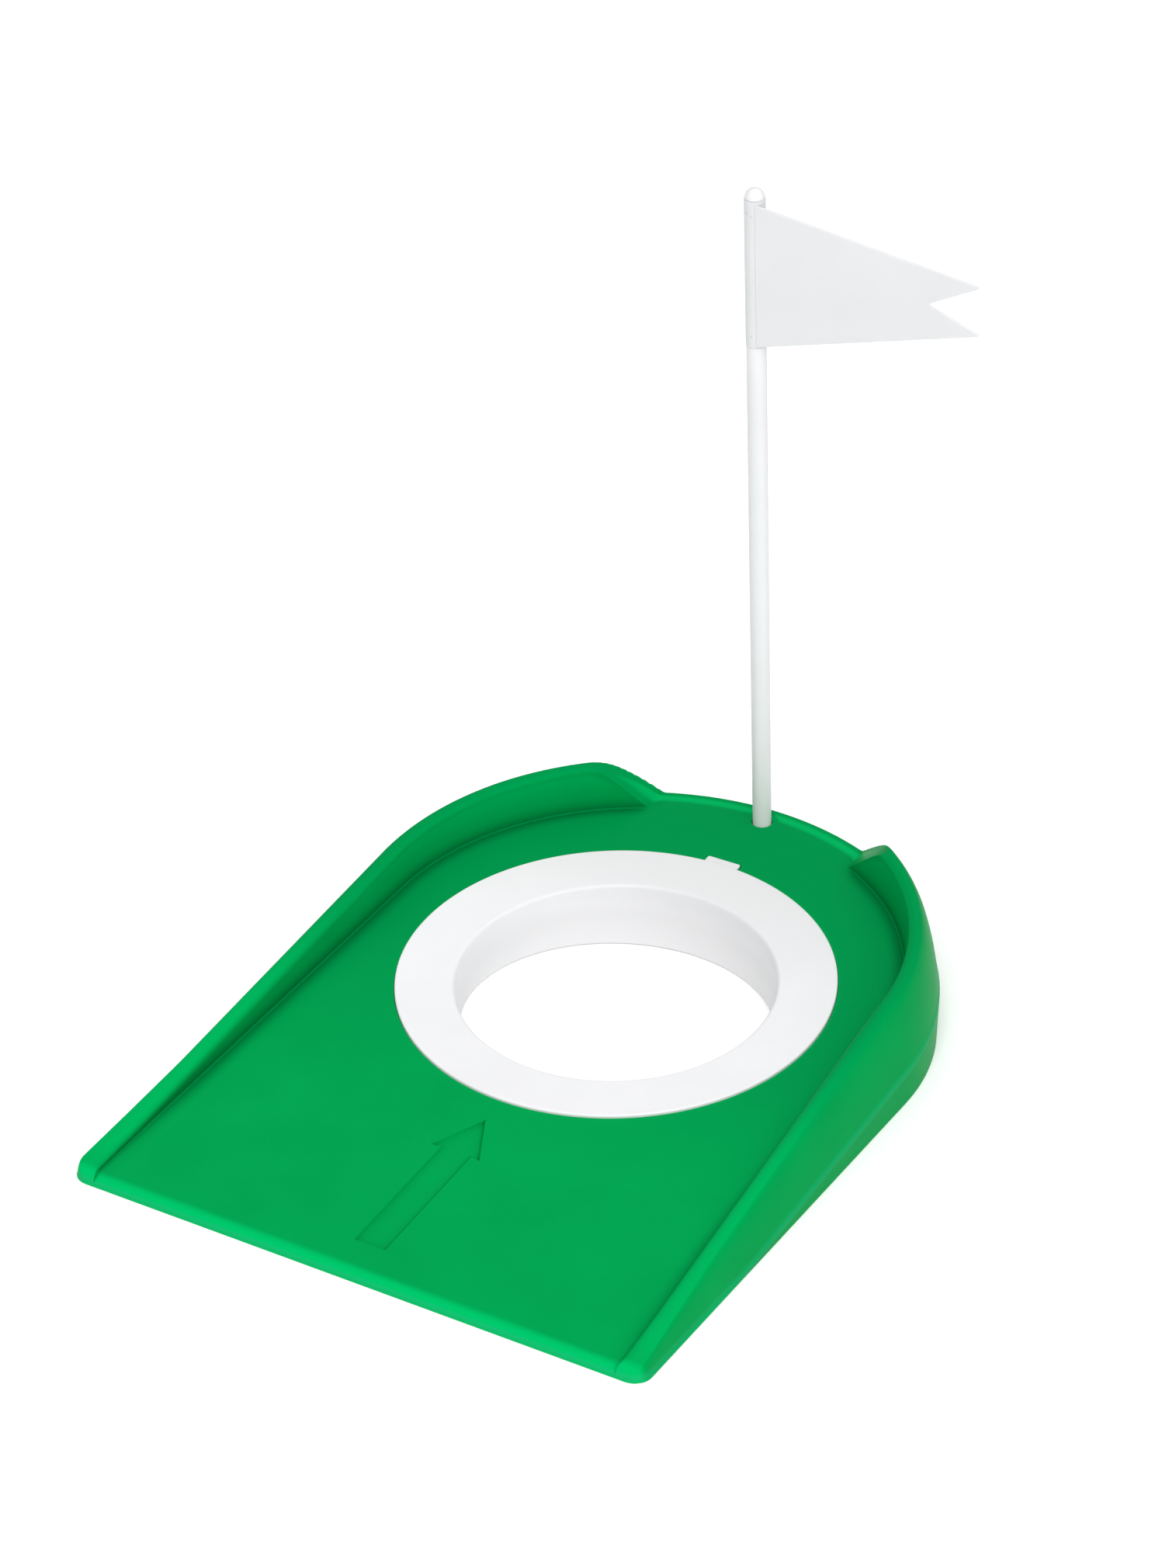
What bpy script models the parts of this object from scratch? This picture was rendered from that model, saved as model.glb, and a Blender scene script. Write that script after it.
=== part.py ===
"""Portable putting cup: a ramped green base with side rails, a white cup ring that drops
into it, and a white pole that carries a turning pennant.

Metres, +Z up. The ball comes in over the low front lip (-Y) and the pole stands behind the
cup (+Y). The origin is the middle of the floor that the base covers.
"""
import math

import bmesh
import bpy
from mathutils import Matrix, Vector

# ---- driving dimensions -------------------------------------------------------------
LENGTH = 0.2850            # front lip to rear edge
HALF_WIDTH = 0.1052        # also the radius of the rounded rear
CORNER_RADIUS = 0.006      # front corners, in plan
LIP_HEIGHT = 0.0036        # where the ball rolls on
DECK_ANGLE = math.radians(5.57)
RAIL_FRONT_HEIGHT = 0.0054
RAIL_TOP_ANGLE = math.radians(10.0)
RAIL_REAR_ANGLE = math.radians(6.7)     # the crest flattens round the rear
RAIL_WIDTH = 0.0125        # along the rounded rear, at the deck
LANE_FLARE = 0.0034        # and the rails get this much thinner towards the front
RAIL_INNER_ROUND = 0.0022
RAIL_INNER_DRAFT = 0.03    # how far the inner wall leans back for each metre up
CREASE_DROP = 0.0085       # the outer wall stands straight up to this far under the deck
RAIL_OUTER_FALL = 0.33     # above that it curves in by this share of its height
RAIL_OUTER_SHAPE = 0.62    # 1 makes that curve a quarter ellipse, less makes it straighter
WALL = 0.0024
TOE_LENGTH = 0.014         # solid plastic behind the front lip
CLEARANCE = 0.0003

CUP_OFFSET = 0.0106        # the cup is this far ahead of the centre of the rounded rear
CUP_RADIUS = 0.0547        # regulation cup, 108 mm across inside, at the top of its draft
CUP_FOOT_RADIUS = 0.0538
RING_RADIUS = 0.0750
RING_WALL = 0.0015
RING_PROUD = 0.0009        # the rim stands this far above the deck
RING_DISH = 0.0010         # and the flange falls this far towards the cup
TAB_WIDTH = 0.0128
TAB_REACH = 0.0030
TAB_SINK = 0.0007          # depth of the notch that the tab lies in

SEAT_PAD_REACH = 0.0040    # the thicker plastic under the deck runs this far past the flange
SEAT_PAD_DEPTH = 0.0042
COLLAR_WALL = 0.0020       # a short collar round the cup under that
COLLAR_DEPTH = 0.0085

GAP_HALF_WIDTH = 0.0400    # between the rail ends, at the deck
RAIL_END_RADIUS = 0.0110   # each crest curves down into a face that leans back at 45 degrees
RAIL_END_RISE = math.radians(6)
ARROW_TAIL = 0.0141        # from the front edge, along the deck
ARROW_SHAFT = 0.0519
ARROW_HEAD = 0.0175
ARROW_SHAFT_HALF = 0.0054
ARROW_HEAD_HALF = 0.0086
ARROW_BARB = 0.0005        # the head's corners lie this far behind the shaft's end
ARROW_DEPTH = 0.0008

POLE_OFFSET = 0.1057       # behind the cup's centre
POLE_LEAN = math.radians(6.4)
POLE_RADIUS = 0.00335
POLE_HEIGHT = 0.2503       # above the deck, along the pole
SOCKET_DEPTH = 0.0170
SOCKET_WALL = 0.0022
NECK_RADIUS = 0.0028

FLAG_MIDDLE = 0.2199       # up the pole
FLAG_ROOT_HALF = 0.0260
FLAG_TIP_HALF = 0.0087
FLAG_LENGTH = 0.0780       # from the pole's axis
FLAG_NOTCH = 0.0599
FLAG_THICKNESS = 0.0008
FLAG_TURN = math.radians(7.7)
SLEEVE_RADIUS = 0.00355
SLEEVE_TOP = 0.2466
SLEEVE_BOTTOM = 0.1936

ARC_STEPS = 48
CORNER_STEPS = 4
ROUND_STEPS = 4
OUTER_STEPS = 7
TURN_STEPS = 72
POLE_STEPS = 24

# ---- places that follow from them ---------------------------------------------------
FRONT_Y = -LENGTH / 2
REAR_Y = LENGTH / 2
ARC_Y = REAR_Y - HALF_WIDTH
CUP_Y = ARC_Y - CUP_OFFSET
POLE_Y = CUP_Y + POLE_OFFSET
FAR = 0.060                # cutters run this far past what they cut
LANE_UNDERCUT = 0.004
LANE_OVERRUN = 0.008
GAP_UNDERCUT = 0.005


def deck_height(y):
    return LIP_HEIGHT + math.tan(DECK_ANGLE) * (y - FRONT_Y)


def rail_height(y):
    rise = math.tan(RAIL_TOP_ANGLE) * (min(y, ARC_Y) - FRONT_Y)
    return RAIL_FRONT_HEIGHT + rise + math.tan(RAIL_REAR_ANGLE) * max(y - ARC_Y, 0.0)


def crease_height(y):
    return max(deck_height(y) - CREASE_DROP, 0.0006)


def on_deck(y, lift=0.0, lean=DECK_ANGLE):
    """A frame on the deck's middle line at y: +Z square to the deck, +Y uphill."""
    place = Matrix.Translation((0, y, deck_height(y)))
    return place @ Matrix.Rotation(lean, 4, "X") @ Matrix.Translation((0, 0, lift))


def on_pole():
    """The same at the pole's foot, with +Z along the pole."""
    return on_deck(POLE_Y, lean=POLE_LEAN)


# ---- scene, materials ---------------------------------------------------------------
def clear_scene():
    for old in list(bpy.data.objects):
        bpy.data.objects.remove(old, do_unlink=True)


def new_collection(name):
    collection = bpy.data.collections.new(name)
    bpy.context.scene.collection.children.link(collection)
    return collection


def linear(red, green, blue):
    """8-bit display colour to the linear value a shader takes."""
    def one(value):
        value /= 255
        return value / 12.92 if value <= 0.04045 else ((value + 0.055) / 1.055) ** 2.4
    return (one(red), one(green), one(blue), 1.0)


def plastic(name, colour, roughness):
    material = bpy.data.materials.new(name)
    material.use_nodes = True
    shader = material.node_tree.nodes["Principled BSDF"]
    shader.inputs["Base Color"].default_value = colour
    shader.inputs["Roughness"].default_value = roughness
    shader.inputs["Metallic"].default_value = 0.0
    material.diffuse_color = colour
    return material


# ---- modelling tools ----------------------------------------------------------------
def add_object(name, mesh, collection, matrix=None):
    thing = bpy.data.objects.new(name, mesh)
    collection.objects.link(thing)
    if matrix is not None:
        thing.matrix_world = matrix
    return thing


def as_cutter(thing):
    thing.hide_render = True
    thing.display_type = "WIRE"
    return thing


def weld(target):
    modifier = target.modifiers.new("Weld", "WELD")
    modifier.merge_threshold = 0.00001


def boolean(target, other, operation="DIFFERENCE"):
    """Cuts or joins other, then welds the hair-thin edges that this can leave."""
    modifier = target.modifiers.new(other.name, "BOOLEAN")
    modifier.operation = operation
    modifier.solver = "EXACT"
    modifier.object = other
    weld(target)


def cap_across(shape, loop):
    """Closes a loop from plan() with faces that run straight across it, left to right."""
    pairs = [(i % len(loop), ARC_STEPS - i) for i in range(ARC_STEPS // 2, -2 * CORNER_STEPS - 3, -1)]
    pairs = pairs[:(len(loop) + 1) // 2]
    for (right, left), (next_right, next_left) in zip(pairs, pairs[1:]):
        corners = [right, left, next_left, next_right] if right != left else [right, next_left, next_right]
        shape.faces.new([loop[i] for i in corners])


def loft(name, rings, collection, bent_top=False):
    """A closed solid through rings of points, the lowest ring first."""
    shape = bmesh.new()
    loops = [[shape.verts.new(point) for point in ring] for ring in rings]
    count = len(loops[0])
    for low, high in zip(loops, loops[1:]):
        for i in range(count):
            j = (i + 1) % count
            shape.faces.new((low[i], low[j], high[j], high[i]))
    shape.faces.new(reversed(loops[0]))
    if bent_top:
        cap_across(shape, loops[-1])
    else:
        shape.faces.new(loops[-1])
    bmesh.ops.recalc_face_normals(shape, faces=shape.faces)
    mesh = bpy.data.meshes.new(name)
    shape.to_mesh(mesh)
    shape.free()
    return add_object(name, mesh, collection)


def turned(name, profile, steps, collection, matrix, closed=False):
    """A profile of (radius, height) turned about Z. Its outer side runs top to bottom."""
    mesh = bpy.data.meshes.new(name)
    edges = [(i, i + 1) for i in range(len(profile) - 1)]
    if closed:
        edges.append((len(profile) - 1, 0))
    mesh.from_pydata([(radius, 0, height) for radius, height in profile], edges, [])
    thing = add_object(name, mesh, collection, matrix)
    screw = thing.modifiers.new("Turn", "SCREW")
    screw.steps = steps
    screw.render_steps = steps
    screw.use_merge_vertices = True
    screw.merge_threshold = 0.00001
    screw.use_smooth_shade = True
    return thing


def plate(name, outline, thickness, collection, matrix):
    """A flat outline in its own XY plane, thickened both ways, as a mesh."""
    curve = bpy.data.curves.new(name, "CURVE")
    curve.dimensions = "2D"
    curve.fill_mode = "BOTH"
    curve.extrude = thickness / 2
    spline = curve.splines.new("POLY")
    spline.points.add(len(outline) - 1)
    for point, (x, y) in zip(spline.points, outline):
        point.co = (x, y, 0, 1)
    spline.use_cyclic_u = True
    guide = add_object(name + "_outline", curve, collection, matrix)
    bpy.context.view_layer.update()
    evaluated = guide.evaluated_get(bpy.context.evaluated_depsgraph_get())
    mesh = bpy.data.meshes.new_from_object(evaluated)
    mesh.name = name
    shape = bmesh.new()
    shape.from_mesh(mesh)
    bmesh.ops.remove_doubles(shape, verts=shape.verts, dist=0.00001)
    bmesh.ops.dissolve_limit(shape, angle_limit=0.01, verts=shape.verts, edges=shape.edges)
    shape.to_mesh(mesh)
    shape.free()
    bpy.data.objects.remove(guide, do_unlink=True)
    return add_object(name, mesh, collection, matrix)


def arc(centre, radius, start, end, steps):
    """Points (x, y) along an arc, angles in degrees, both ends included."""
    points = []
    for i in range(steps + 1):
        angle = math.radians(start + (end - start) * i / steps)
        points.append((centre[0] + radius * math.cos(angle), centre[1] + radius * math.sin(angle)))
    return points


def plan(half_width, front, corner):
    """The base's outline seen from above, anticlockwise, with the outward normal at each point."""
    points = []
    for x, y in arc((0, ARC_Y), half_width, 0, 180, ARC_STEPS):
        points.append((Vector((x, y)), Vector((x, y - ARC_Y)) / half_width))
    for side, start in ((-1, 180), (1, 270)):
        centre = (side * (half_width - corner), front + corner)
        for x, y in arc(centre, corner, start, start + 90, CORNER_STEPS):
            points.append((Vector((x, y)), Vector((x - centre[0], y - centre[1])) / corner))
    return points


def ring_of(points, inset, height):
    """One ring of a loft: inset and height are functions of a point's y."""
    ring = []
    for point, normal in points:
        moved = point - normal * inset(point.y)
        ring.append((moved.x, moved.y, height(moved.y)))
    return ring


# ---- the base -----------------------------------------------------------------------
def body_solid(name, shrink, front, floor, collection):
    """The base without its lane: a straight skirt and above its crease a wall that curves in
    to the crest. shrink moves every face inwards, for the hollow."""
    points = plan(HALF_WIDTH - shrink, front, CORNER_RADIUS)
    top_drop = shrink / math.cos(RAIL_TOP_ANGLE)

    def crease(y):
        return crease_height(y) if floor == 0 else max(crease_height(y), floor + 0.0004)

    def rise(y):
        return max(rail_height(y) - top_drop - crease(y), 0.0004)

    def wall(angle):
        share = RAIL_OUTER_FALL * (1 - math.cos(angle)) ** RAIL_OUTER_SHAPE
        return (lambda y: share * rise(y)), (lambda y: crease(y) + math.sin(angle) * rise(y))

    rings = [ring_of(points, lambda y: 0.0, lambda y: floor)]
    for i in range(OUTER_STEPS + 1):
        rings.append(ring_of(points, *wall(math.pi / 2 * i / OUTER_STEPS)))
    return loft(name, rings, collection, bent_top=True)


def lane_solid(name, grow, collection):
    """The lane between the rails, with the rails' rounded inner shoulders. It reaches below
    the deck, and air_solid trims it there."""
    half_width = HALF_WIDTH - RAIL_WIDTH + grow
    points = plan(half_width, FRONT_Y - LANE_OVERRUN, CORNER_RADIUS)
    drop = grow / math.cos(DECK_ANGLE)

    def floor(y):
        return deck_height(y) - drop

    def flare(y):
        return -LANE_FLARE * max(ARC_Y - y, 0.0) / (ARC_Y - FRONT_Y)

    def radius(y):
        return min(RAIL_INNER_ROUND, (rail_height(y) - deck_height(y)) / 2)

    def shoulder(angle):
        across = 1 - math.cos(angle)
        up = 1 - math.sin(angle)

        def inset(y):
            wall = rail_height(y) - radius(y) - floor(y)
            return flare(y) - RAIL_INNER_DRAFT * wall - radius(y) * across
        return inset, (lambda y: rail_height(y) - radius(y) * up)

    rings = [ring_of(points, flare, lambda y: floor(y) - LANE_UNDERCUT),
             ring_of(points, flare, floor)]
    if grow == 0:
        for i in range(ROUND_STEPS + 1):
            rings.append(ring_of(points, *shoulder(math.pi / 2 * i / ROUND_STEPS)))
    last = shoulder(math.pi / 2 if grow == 0 else 0.0)[0]
    rings.append(ring_of(points, last, lambda y: rail_height(y) + FAR))
    return loft(name, rings, collection)


def gap_outline(y, grow):
    """Half of the gap's section at y, (x, z): up the 45 degree face, round on to the crest."""
    drop = grow / math.cos(DECK_ANGLE)
    floor = deck_height(y) - drop
    crest = rail_height(y) - drop
    radius = RAIL_END_RADIUS - grow
    slant = math.radians(45)
    foot = GAP_HALF_WIDTH + grow * (math.sqrt(2) - 1)
    centre_z = crest - radius * math.cos(RAIL_END_RISE)
    centre_x = foot + centre_z - floor + radius * (math.cos(slant) + math.sin(slant))
    points = [(foot - GAP_UNDERCUT, floor - GAP_UNDERCUT)]
    for i in range(ROUND_STEPS + 1):
        angle = slant + (RAIL_END_RISE - slant) * i / ROUND_STEPS
        points.append((centre_x - radius * math.sin(angle), centre_z + radius * math.cos(angle)))
    x, z = points[-1]
    points.append((x + FAR, z + FAR * math.tan(RAIL_END_RISE)))
    points.append((x + FAR, z + FAR))
    return points


def gap_solid(name, grow, collection):
    """The opening between the rail ends, run from inside the lane to past the rear. It reaches
    below the deck, and air_solid trims it there."""
    rings = []
    for y in (ARC_Y + HALF_WIDTH / 2, REAR_Y + FAR):
        half = gap_outline(y, grow)
        ring = [(x, y, z) for x, z in half]
        ring += [(-x, y, z) for x, z in reversed(half)]
        rings.append(ring)
    return loft(name, rings, collection)


def air_solid(name, grow, collection):
    """Everything open above the deck: the lane and the gap joined, floored by one plane.
    grow thickens it by the wall, which leaves the skin of the deck and rails."""
    air = as_cutter(lane_solid(name, grow, collection))
    boolean(air, as_cutter(gap_solid(name + "_gap", grow, collection)), "UNION")
    drop = grow / math.cos(DECK_ANGLE)

    def ring(lift):
        corners = ((-FAR * 3, -FAR * 5), (FAR * 3, -FAR * 5), (FAR * 3, FAR * 5), (-FAR * 3, FAR * 5))
        return [(x, y, deck_height(y) - drop + lift) for x, y in corners]
    boolean(air, as_cutter(loft(name + "_floor", [ring(-FAR), ring(0.0)], collection)))
    return air


def nose_solid(collection):
    """Rounds the front lip between the rails."""
    radius = LIP_HEIGHT * 0.75
    half = HALF_WIDTH - RAIL_WIDTH + LANE_FLARE
    centre = (FRONT_Y + radius, LIP_HEIGHT - radius)
    outline = arc(centre, radius, 180, 90 + math.degrees(DECK_ANGLE), 6)
    end_y, end_z = outline[-1]
    outline += [(end_y, end_z + FAR), (FRONT_Y - FAR, end_z + FAR), (FRONT_Y - FAR, centre[1])]
    across = Matrix(((0, 0, 1, 0), (1, 0, 0, 0), (0, 1, 0, 0), (0, 0, 0, 1)))
    return plate("nose_round", outline, 2 * half, collection, across)


def arrow_solid(collection):
    """A shallow sunk arrow on the ramp that points at the cup."""
    head = ARROW_TAIL + ARROW_SHAFT
    outline = [(-ARROW_SHAFT_HALF, ARROW_TAIL), (ARROW_SHAFT_HALF, ARROW_TAIL),
               (ARROW_SHAFT_HALF, head), (ARROW_HEAD_HALF, head - ARROW_BARB),
               (0, head + ARROW_HEAD), (-ARROW_HEAD_HALF, head - ARROW_BARB),
               (-ARROW_SHAFT_HALF, head)]
    return plate("arrow_sinking", outline, 2 * ARROW_DEPTH, collection, on_deck(FRONT_Y))


def seat_profile(gap):
    """Half section of the seat's cutter, square to the deck: the dished pocket and the hole."""
    rim = RING_RADIUS + gap
    hole = CUP_RADIUS + RING_WALL + gap
    under = RING_WALL + gap
    return [(0, FAR), (rim, FAR), (rim, RING_PROUD - under), (hole, RING_PROUD - RING_DISH - under),
            (hole, -FAR), (0, -FAR)]


def make_base(parts, cutters, material):
    base = body_solid("base", 0.0, FRONT_Y, 0.0, parts)
    boolean(base, air_solid("air", 0.0, cutters))
    boolean(base, as_cutter(nose_solid(cutters)))

    hollow = as_cutter(body_solid("hollow", WALL, FRONT_Y + TOE_LENGTH, -0.002, cutters))
    boolean(hollow, air_solid("deck_skin", WALL, cutters))
    pad_radius = RING_RADIUS + SEAT_PAD_REACH
    collar_radius = CUP_RADIUS + RING_WALL + CLEARANCE + COLLAR_WALL
    pad = turned("seat_pad", [(0, FAR), (pad_radius, FAR), (pad_radius, -SEAT_PAD_DEPTH),
                              (collar_radius, -SEAT_PAD_DEPTH), (collar_radius, -COLLAR_DEPTH),
                              (0, -COLLAR_DEPTH)], TURN_STEPS, cutters, on_deck(CUP_Y))
    boolean(hollow, as_cutter(pad))
    boss_radius = POLE_RADIUS + CLEARANCE + SOCKET_WALL
    boss = turned("socket_boss", [(0, 0.010), (boss_radius, 0.010),
                                  (boss_radius, -SOCKET_DEPTH - SOCKET_WALL),
                                  (0, -SOCKET_DEPTH - SOCKET_WALL)],
                  POLE_STEPS, cutters, on_pole())
    boolean(hollow, as_cutter(boss))
    boolean(base, hollow)

    seat = turned("cup_seat", seat_profile(CLEARANCE), TURN_STEPS, cutters, on_deck(CUP_Y))
    boolean(base, as_cutter(seat))
    notch_half = TAB_WIDTH / 2 + CLEARANCE
    notch_end = RING_RADIUS + TAB_REACH + CLEARANCE
    notch = plate("tab_notch", [(-notch_half, RING_RADIUS - 0.002), (notch_half, RING_RADIUS - 0.002),
                                (notch_half, notch_end), (-notch_half, notch_end)],
                  2 * TAB_SINK, cutters, on_deck(CUP_Y))
    boolean(base, as_cutter(notch))
    boolean(base, as_cutter(arrow_solid(cutters)))
    bore = POLE_RADIUS + CLEARANCE
    socket = turned("pole_socket", [(0, 0.010), (bore, 0.010), (bore, -SOCKET_DEPTH),
                                    (0, -SOCKET_DEPTH)], POLE_STEPS, cutters, on_pole())
    boolean(base, as_cutter(socket))
    base.data.materials.append(material)
    return base


# ---- the cup ring -------------------------------------------------------------------
def make_cup_ring(parts, cutters, material):
    """A dished flange and a short tube, cut level at the floor, with a finger tab behind."""
    rim_top = RING_PROUD
    inner_top = RING_PROUD - RING_DISH
    foot = -deck_height(CUP_Y) - 0.010
    edge = 0.0005
    bend = 0.0008
    profile = [(RING_RADIUS - edge, rim_top), (RING_RADIUS, rim_top - edge),
               (RING_RADIUS, rim_top - RING_WALL),
               (CUP_RADIUS + RING_WALL, inner_top - RING_WALL),
               (CUP_FOOT_RADIUS + RING_WALL, foot), (CUP_FOOT_RADIUS, foot),
               (CUP_RADIUS, inner_top - bend), (CUP_RADIUS + bend * 0.3, inner_top - bend * 0.3),
               (CUP_RADIUS + bend, inner_top)]
    ring = turned("cup_ring", profile, TURN_STEPS, parts, on_deck(CUP_Y), closed=True)
    half = TAB_WIDTH / 2
    start = RING_RADIUS - 0.0025
    end = RING_RADIUS + TAB_REACH
    top = RING_PROUD - 0.0002
    bottom = CLEARANCE - TAB_SINK
    tab = plate("finger_tab", [(-half, start), (half, start), (half, end), (-half, end)],
                top - bottom, cutters, on_deck(CUP_Y, (top + bottom) / 2))
    boolean(ring, as_cutter(tab), "UNION")
    bpy.ops.mesh.primitive_cube_add(size=1, location=(0, CUP_Y, CLEARANCE + 0.0002 - FAR / 2))
    floor = bpy.context.object
    floor.name = "floor_level"
    floor.data.transform(Matrix.Diagonal((0.3, 0.3, FAR, 1)))
    for owner in list(floor.users_collection):
        owner.objects.unlink(floor)
    cutters.objects.link(floor)
    boolean(ring, as_cutter(floor))
    ring.data.materials.append(material)
    return ring


# ---- pole and flag ------------------------------------------------------------------
def make_pole(parts, material):
    """One round rod with a domed head and a neck that holds the flag's sleeve."""
    dome = arc((0, POLE_HEIGHT - POLE_RADIUS), POLE_RADIUS, 90, 0, 6)
    neck_top = SLEEVE_TOP + CLEARANCE
    neck_bottom = SLEEVE_BOTTOM - CLEARANCE
    foot = -SOCKET_DEPTH + CLEARANCE
    chamfer = 0.0008
    profile = [(0 if i == 0 else radius, height) for i, (radius, height) in enumerate(dome)]
    profile += [(POLE_RADIUS, neck_top), (NECK_RADIUS, neck_top), (NECK_RADIUS, neck_bottom),
                (POLE_RADIUS, neck_bottom), (POLE_RADIUS, foot + chamfer),
                (POLE_RADIUS - chamfer, foot), (0, foot)]
    pole = turned("pole", profile, POLE_STEPS, parts, on_pole())
    pole.data.materials.append(material)
    return pole


def make_flag(parts, cutters, material):
    """A swallow-tailed pennant with a thin sleeve round the pole's neck. The cloth-thin plate
    leaves the sleeve along its front, as a folded sheet would."""
    inner = NECK_RADIUS + CLEARANCE
    sleeve_frame = on_pole() @ Matrix.Rotation(FLAG_TURN, 4, "Z")
    flag = turned("flag", [(SLEEVE_RADIUS, SLEEVE_TOP), (SLEEVE_RADIUS, SLEEVE_BOTTOM),
                           (inner, SLEEVE_BOTTOM), (inner, SLEEVE_TOP)],
                  POLE_STEPS, parts, sleeve_frame, closed=True)
    outline = [(0.0012, FLAG_MIDDLE - FLAG_ROOT_HALF), (FLAG_LENGTH, FLAG_MIDDLE - FLAG_TIP_HALF),
               (FLAG_NOTCH, FLAG_MIDDLE), (FLAG_LENGTH, FLAG_MIDDLE + FLAG_TIP_HALF),
               (0.0012, FLAG_MIDDLE + FLAG_ROOT_HALF)]
    upright = Matrix.Rotation(math.radians(90), 4, "X")
    forward = Matrix.Translation((0, -(SLEEVE_RADIUS - FLAG_THICKNESS / 2), 0))
    sheet = plate("pennant", outline, FLAG_THICKNESS, cutters, sleeve_frame @ forward @ upright)
    bore = turned("sleeve_bore", [(0, POLE_HEIGHT), (inner, POLE_HEIGHT), (inner, SLEEVE_BOTTOM - 0.01),
                                  (0, SLEEVE_BOTTOM - 0.01)], POLE_STEPS, cutters, sleeve_frame)
    boolean(flag, as_cutter(sheet), "UNION")
    boolean(flag, as_cutter(bore))
    flag.data.materials.append(material)
    return flag


def main():
    clear_scene()
    parts = new_collection("putting_cup")
    cutters = new_collection("cutters")
    green = plastic("green_plastic", linear(0, 160, 82), 0.32)
    white = plastic("white_plastic", linear(238, 238, 241), 0.35)
    make_base(parts, cutters, green)
    make_cup_ring(parts, cutters, white)
    make_pole(parts, white)
    make_flag(parts, cutters, white)


main()
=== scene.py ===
"""Looks for the putting cup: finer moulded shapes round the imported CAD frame, plastic
materials, soft studio light and the camera. Metres, in the CAD frame."""
import math

import bmesh
import bpy
from mathutils import Matrix, Vector


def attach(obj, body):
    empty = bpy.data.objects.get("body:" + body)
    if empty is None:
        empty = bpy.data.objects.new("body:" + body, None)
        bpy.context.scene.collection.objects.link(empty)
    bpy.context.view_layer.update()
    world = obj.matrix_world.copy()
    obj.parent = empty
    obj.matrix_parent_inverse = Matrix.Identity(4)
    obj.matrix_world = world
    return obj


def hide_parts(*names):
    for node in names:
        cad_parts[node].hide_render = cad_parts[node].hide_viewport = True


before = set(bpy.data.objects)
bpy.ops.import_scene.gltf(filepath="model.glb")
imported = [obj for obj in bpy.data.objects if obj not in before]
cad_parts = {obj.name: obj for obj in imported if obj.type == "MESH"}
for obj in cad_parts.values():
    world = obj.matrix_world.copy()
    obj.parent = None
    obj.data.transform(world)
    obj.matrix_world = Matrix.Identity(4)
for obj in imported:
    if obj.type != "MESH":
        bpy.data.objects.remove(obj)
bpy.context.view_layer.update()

# ---- the part's own dimensions, as its source has them ---------------------------------
LENGTH = 0.2850
HALF_WIDTH = 0.1052
CORNER_RADIUS = 0.0060
LIP_HEIGHT = 0.0036
DECK_ANGLE = math.radians(5.57)
RAIL_FRONT_HEIGHT = 0.0054
RAIL_TOP_ANGLE = math.radians(10.0)
RAIL_REAR_ANGLE = math.radians(6.7)
RAIL_WIDTH = 0.0125
LANE_FLARE = 0.0034
RAIL_INNER_DRAFT = 0.03
CREASE_DROP = 0.0085
LOWEST_CREASE = 0.0006
RAIL_OUTER_FALL = 0.33
RAIL_OUTER_SHAPE = 0.62
WALL = 0.0024
TOE_LENGTH = 0.014
CLEARANCE = 0.0003
CUP_OFFSET = 0.0106
CUP_RADIUS = 0.0547
CUP_FOOT_RADIUS = 0.0538
RING_RADIUS = 0.0750
RING_WALL = 0.0015
RING_PROUD = 0.0009
RING_DISH = 0.0010
TAB_WIDTH = 0.0128
TAB_REACH = 0.0030
TAB_SINK = 0.0007
SEAT_PAD_REACH = 0.0040
SEAT_PAD_DEPTH = 0.0042
COLLAR_WALL = 0.0020
COLLAR_DEPTH = 0.0085
GAP_HALF_WIDTH = 0.0400
ARROW_TAIL = 0.0141
ARROW_SHAFT = 0.0519
ARROW_HEAD = 0.0175
ARROW_SHAFT_HALF = 0.0054
ARROW_HEAD_HALF = 0.0086
ARROW_BARB = 0.0005
POLE_OFFSET = 0.1057
POLE_LEAN = math.radians(6.4)
POLE_RADIUS = 0.00335
POLE_HEIGHT = 0.2503
SOCKET_DEPTH = 0.0170
SOCKET_WALL = 0.0022
NECK_RADIUS = 0.0028
FOOT_CHAMFER = 0.0008
FLAG_MIDDLE = 0.2199
FLAG_ROOT_HALF = 0.0260
FLAG_TIP_HALF = 0.0087
FLAG_LENGTH = 0.0780
FLAG_NOTCH = 0.0599
FLAG_THICKNESS = 0.0008
FLAG_TURN = math.radians(7.7)
SLEEVE_RADIUS = 0.00355
SLEEVE_TOP = 0.2466
SLEEVE_BOTTOM = 0.1936
SHEET_ROOT = 0.0012

FRONT_Y = -LENGTH / 2
REAR_Y = LENGTH / 2
ARC_Y = REAR_Y - HALF_WIDTH
CUP_Y = ARC_Y - CUP_OFFSET
POLE_Y = CUP_Y + POLE_OFFSET
FAR = 0.060                # cutters run this far past what they cut
ABOVE_DECK = 0.010         # and the narrow ones at the pole start this far above the deck
HAIR = 0.00001             # the smallest gap or rounding, so that no two surfaces quite meet

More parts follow.
